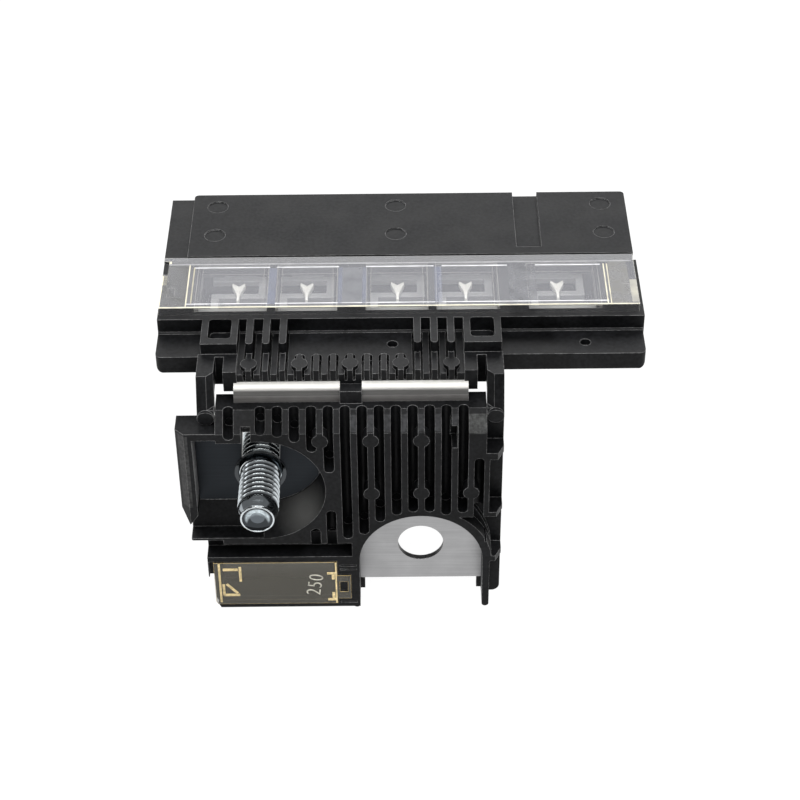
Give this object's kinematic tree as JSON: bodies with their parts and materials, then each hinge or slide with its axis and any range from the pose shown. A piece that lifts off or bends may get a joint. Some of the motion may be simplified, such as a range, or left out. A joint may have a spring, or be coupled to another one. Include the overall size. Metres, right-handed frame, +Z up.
{
  "type": "battery terminal fuse",
  "caption": "Battery terminal fuse: ribbed terminal body with stud and post hole, joined by bent strips to a covered bank of fuse links with plug sockets.",
  "frame": {"origin": "centre of the battery terminal hole, on the front face of the terminal plate", "axes": "+X to the right along the fuse bank, +Y from the front of the terminal plate to its back and on to the plug sockets, +Z up"},
  "size_m": [0.0939, 0.0692, 0.0592],
  "materials": {
    "plated_copper": "brushed tin plate",
    "zinc_steel": "bright zinc plate",
    "black_plastic": "fine matte moulding",
    "clear_plastic": "clear",
    "amber_plastic": "tinted clear",
    "tin": "bright"
  },
  "bodies": {
    "root": {"bus_bar": "plated_copper", "terminal_stud": "zinc_steel", "terminal_housing": "black_plastic", "fuse_block_housing": "black_plastic", "fuse_bank_cover": "clear_plastic", "fuse_bank_base": "black_plastic", "main_link_cover": "amber_plastic", "main_link_back_cover": "black_plastic", "link_tin_1": "tin", "link_tin_2": "tin", "link_tin_3": "tin", "link_tin_4": "tin", "link_tin_5": "tin"}
  },
  "joints": []
}
